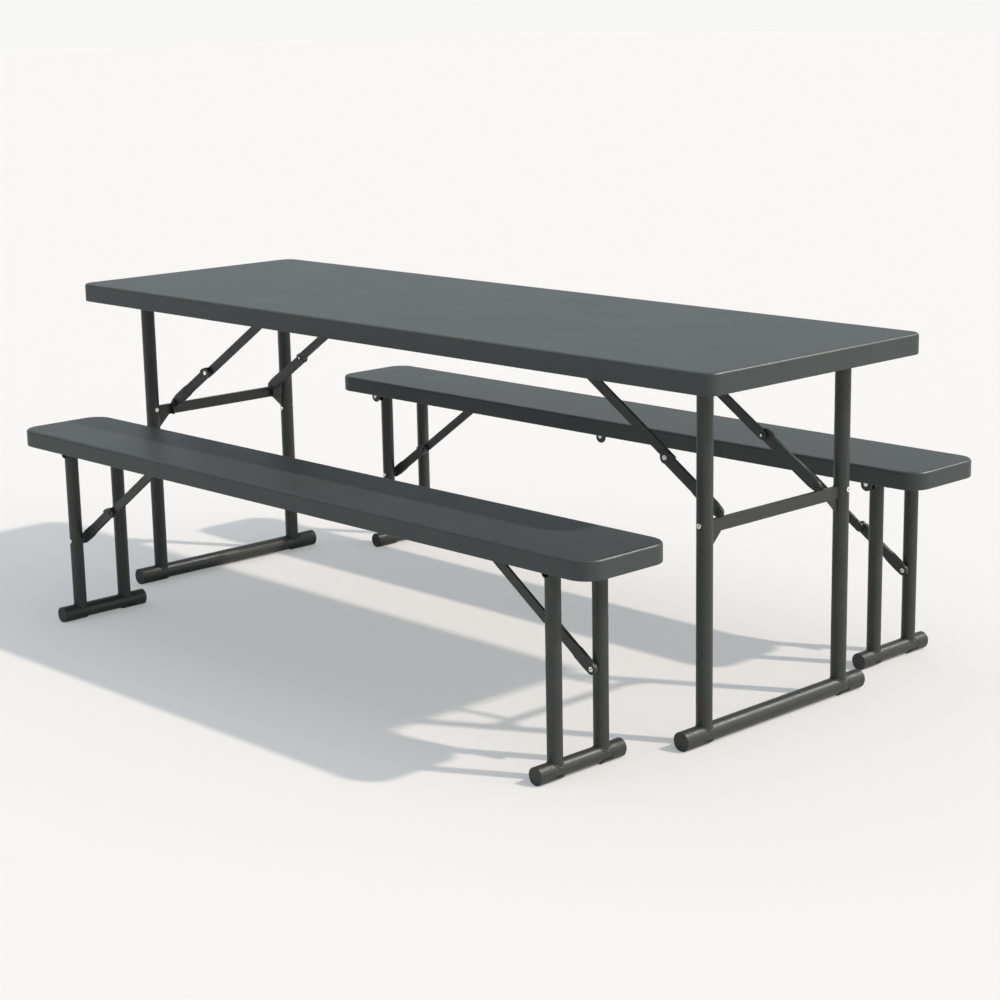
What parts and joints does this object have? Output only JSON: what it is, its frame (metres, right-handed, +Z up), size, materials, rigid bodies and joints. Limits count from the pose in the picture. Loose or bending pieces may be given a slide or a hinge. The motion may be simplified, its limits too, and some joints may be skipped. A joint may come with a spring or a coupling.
{
  "type": "folding table and bench set",
  "caption": "Folding table with matching benches: moulded grey tops on steel tube leg frames that fold flat under each top on hinged braces.",
  "frame": {"origin": "on the floor under the middle of the table top", "axes": "+X along the table to the right-hand end, +Y across the table to the far bench, +Z up"},
  "size_m": [2, 1.18, 0.74],
  "materials": {
    "moulded_top": "satin grey moulded plastic",
    "painted_steel": "dark grey powder coat",
    "foot_cap": "dark grey plastic",
    "zinc": "zinc plated"
  },
  "bodies": {
    "table": {"table_top": "moulded_top", "table_side_rails": "painted_steel", "table_cross_bars": "painted_steel", "table_pivot_brackets": "painted_steel", "table_brace_brackets": "painted_steel", "table_brace_rivets": "zinc", "table_screws": "zinc"},
    "left_table_leg_frame": {"left_table_legs": "painted_steel", "left_table_pivot_tube": "painted_steel", "left_table_foot_tube": "painted_steel", "left_table_foot_caps": "foot_cap", "left_table_crossbar": "painted_steel", "left_table_crossbar_plates": "painted_steel", "left_table_rivets": "zinc"},
    "left_table_lower_links": {"left_table_lower_braces": "painted_steel", "left_table_knee_rivets": "zinc"},
    "left_table_upper_links": {"left_table_upper_braces": "painted_steel"},
    "right_table_leg_frame": {"right_table_legs": "painted_steel", "right_table_pivot_tube": "painted_steel", "right_table_foot_tube": "painted_steel", "right_table_foot_caps": "foot_cap", "right_table_crossbar": "painted_steel", "right_table_crossbar_plates": "painted_steel", "right_table_rivets": "zinc"},
    "right_table_lower_links": {"right_table_lower_braces": "painted_steel", "right_table_knee_rivets": "zinc"},
    "right_table_upper_links": {"right_table_upper_braces": "painted_steel"},
    "near_bench": {"near_bench_seat": "moulded_top", "near_bench_side_rails": "painted_steel", "near_bench_brackets": "painted_steel", "near_bench_fixings": "zinc"},
    "near_bench_left_leg_frame": {"near_bench_left_legs": "painted_steel", "near_bench_left_foot_tube": "painted_steel", "near_bench_left_foot_caps": "foot_cap", "near_bench_left_brace_rivet": "zinc"},
    "near_bench_left_lower_link": {"near_bench_left_lower_brace": "painted_steel"},
    "near_bench_left_upper_link": {"near_bench_left_upper_brace": "painted_steel"},
    "near_bench_right_leg_frame": {"near_bench_right_legs": "painted_steel", "near_bench_right_foot_tube": "painted_steel", "near_bench_right_foot_caps": "foot_cap", "near_bench_right_brace_rivet": "zinc"},
    "near_bench_right_lower_link": {"near_bench_right_lower_brace": "painted_steel"},
    "near_bench_right_upper_link": {"near_bench_right_upper_brace": "painted_steel"},
    "far_bench": {"far_bench_seat": "moulded_top", "far_bench_side_rails": "painted_steel", "far_bench_brackets": "painted_steel", "far_bench_fixings": "zinc"},
    "far_bench_left_leg_frame": {"far_bench_left_legs": "painted_steel", "far_bench_left_foot_tube": "painted_steel", "far_bench_left_foot_caps": "foot_cap", "far_bench_left_brace_rivet": "zinc"},
    "far_bench_left_lower_link": {"far_bench_left_lower_brace": "painted_steel"},
    "far_bench_left_upper_link": {"far_bench_left_upper_brace": "painted_steel"},
    "far_bench_right_leg_frame": {"far_bench_right_legs": "painted_steel", "far_bench_right_foot_tube": "painted_steel", "far_bench_right_foot_caps": "foot_cap", "far_bench_right_brace_rivet": "zinc"},
    "far_bench_right_lower_link": {"far_bench_right_lower_brace": "painted_steel"},
    "far_bench_right_upper_link": {"far_bench_right_upper_brace": "painted_steel"}
  },
  "joints": [
    {"name": "left_table_fold", "type": "hinge", "parent": "table", "child": "left_table_leg_frame", "pos_m": [-0.889, 0, 0.694], "axis": [0, -1, 0], "range_deg": [0, 90]},
    {"name": "left_table_lower_link_turn", "type": "hinge", "parent": "left_table_leg_frame", "child": "left_table_lower_links", "pos_m": [-0.873, 0, 0.441], "axis": [0, -1, 0], "range_deg": [0, 57.22]},
    {"name": "left_table_upper_link_turn", "type": "hinge", "parent": "table", "child": "left_table_upper_links", "pos_m": [-0.459, 0, 0.711], "axis": [0, -1, 0], "range_deg": [-32.8, 0]},
    {"name": "right_table_fold", "type": "hinge", "parent": "table", "child": "right_table_leg_frame", "pos_m": [0.889, 0, 0.694], "axis": [0, 1, 0], "range_deg": [0, 90]},
    {"name": "right_table_lower_link_turn", "type": "hinge", "parent": "right_table_leg_frame", "child": "right_table_lower_links", "pos_m": [0.873, 0, 0.441], "axis": [0, 1, 0], "range_deg": [0, 57.22]},
    {"name": "right_table_upper_link_turn", "type": "hinge", "parent": "table", "child": "right_table_upper_links", "pos_m": [0.459, 0, 0.711], "axis": [0, 1, 0], "range_deg": [-32.8, 0]},
    {"name": "near_bench_slide", "type": "slide", "parent": "table", "child": "near_bench", "axis": [0, -1, 0], "range_m": [-0.1, 0.3]},
    {"name": "near_bench_left_fold", "type": "hinge", "parent": "near_bench", "child": "near_bench_left_leg_frame", "pos_m": [-0.74, -0.478, 0.393], "axis": [0, -1, 0], "range_deg": [0, 88]},
    {"name": "near_bench_left_lower_link_turn", "type": "hinge", "parent": "near_bench_left_leg_frame", "child": "near_bench_left_lower_link", "pos_m": [-0.74, -0.478, 0.187], "axis": [0, -1, 0], "range_deg": [0, 66.52]},
    {"name": "near_bench_left_upper_link_turn", "type": "hinge", "parent": "near_bench", "child": "near_bench_left_upper_link", "pos_m": [-0.43, -0.478, 0.403], "axis": [0, -1, 0], "range_deg": [-25.5, 0]},
    {"name": "near_bench_right_fold", "type": "hinge", "parent": "near_bench", "child": "near_bench_right_leg_frame", "pos_m": [0.82, -0.478, 0.393], "axis": [0, 1, 0], "range_deg": [0, 88]},
    {"name": "near_bench_right_lower_link_turn", "type": "hinge", "parent": "near_bench_right_leg_frame", "child": "near_bench_right_lower_link", "pos_m": [0.82, -0.478, 0.187], "axis": [0, 1, 0], "range_deg": [0, 66.52]},
    {"name": "near_bench_right_upper_link_turn", "type": "hinge", "parent": "near_bench", "child": "near_bench_right_upper_link", "pos_m": [0.51, -0.478, 0.403], "axis": [0, 1, 0], "range_deg": [-25.5, 0]},
    {"name": "far_bench_slide", "type": "slide", "parent": "table", "child": "far_bench", "axis": [0, 1, 0], "range_m": [-0.1, 0.3]},
    {"name": "far_bench_left_fold", "type": "hinge", "parent": "far_bench", "child": "far_bench_left_leg_frame", "pos_m": [-0.74, 0.478, 0.393], "axis": [0, -1, 0], "range_deg": [0, 88]},
    {"name": "far_bench_left_lower_link_turn", "type": "hinge", "parent": "far_bench_left_leg_frame", "child": "far_bench_left_lower_link", "pos_m": [-0.74, 0.478, 0.187], "axis": [0, -1, 0], "range_deg": [0, 66.52]},
    {"name": "far_bench_left_upper_link_turn", "type": "hinge", "parent": "far_bench", "child": "far_bench_left_upper_link", "pos_m": [-0.43, 0.478, 0.403], "axis": [0, -1, 0], "range_deg": [-25.5, 0]},
    {"name": "far_bench_right_fold", "type": "hinge", "parent": "far_bench", "child": "far_bench_right_leg_frame", "pos_m": [0.82, 0.478, 0.393], "axis": [0, 1, 0], "range_deg": [0, 88]},
    {"name": "far_bench_right_lower_link_turn", "type": "hinge", "parent": "far_bench_right_leg_frame", "child": "far_bench_right_lower_link", "pos_m": [0.82, 0.478, 0.187], "axis": [0, 1, 0], "range_deg": [0, 66.52]},
    {"name": "far_bench_right_upper_link_turn", "type": "hinge", "parent": "far_bench", "child": "far_bench_right_upper_link", "pos_m": [0.51, 0.478, 0.403], "axis": [0, 1, 0], "range_deg": [-25.5, 0]}
  ],
  "couplings": [
    {"joint": "left_table_lower_link_turn", "follows": "left_table_fold", "ratio": 0.63569},
    {"joint": "left_table_upper_link_turn", "follows": "left_table_fold", "ratio": -0.36431},
    {"joint": "right_table_lower_link_turn", "follows": "right_table_fold", "ratio": 0.63569},
    {"joint": "right_table_upper_link_turn", "follows": "right_table_fold", "ratio": -0.36431},
    {"joint": "near_bench_left_lower_link_turn", "follows": "near_bench_left_fold", "ratio": 0.75575},
    {"joint": "near_bench_left_upper_link_turn", "follows": "near_bench_left_fold", "ratio": -0.2897},
    {"joint": "near_bench_right_lower_link_turn", "follows": "near_bench_right_fold", "ratio": 0.75575},
    {"joint": "near_bench_right_upper_link_turn", "follows": "near_bench_right_fold", "ratio": -0.2897},
    {"joint": "far_bench_left_lower_link_turn", "follows": "far_bench_left_fold", "ratio": 0.75575},
    {"joint": "far_bench_left_upper_link_turn", "follows": "far_bench_left_fold", "ratio": -0.2897},
    {"joint": "far_bench_right_lower_link_turn", "follows": "far_bench_right_fold", "ratio": 0.75575},
    {"joint": "far_bench_right_upper_link_turn", "follows": "far_bench_right_fold", "ratio": -0.2897}
  ]
}
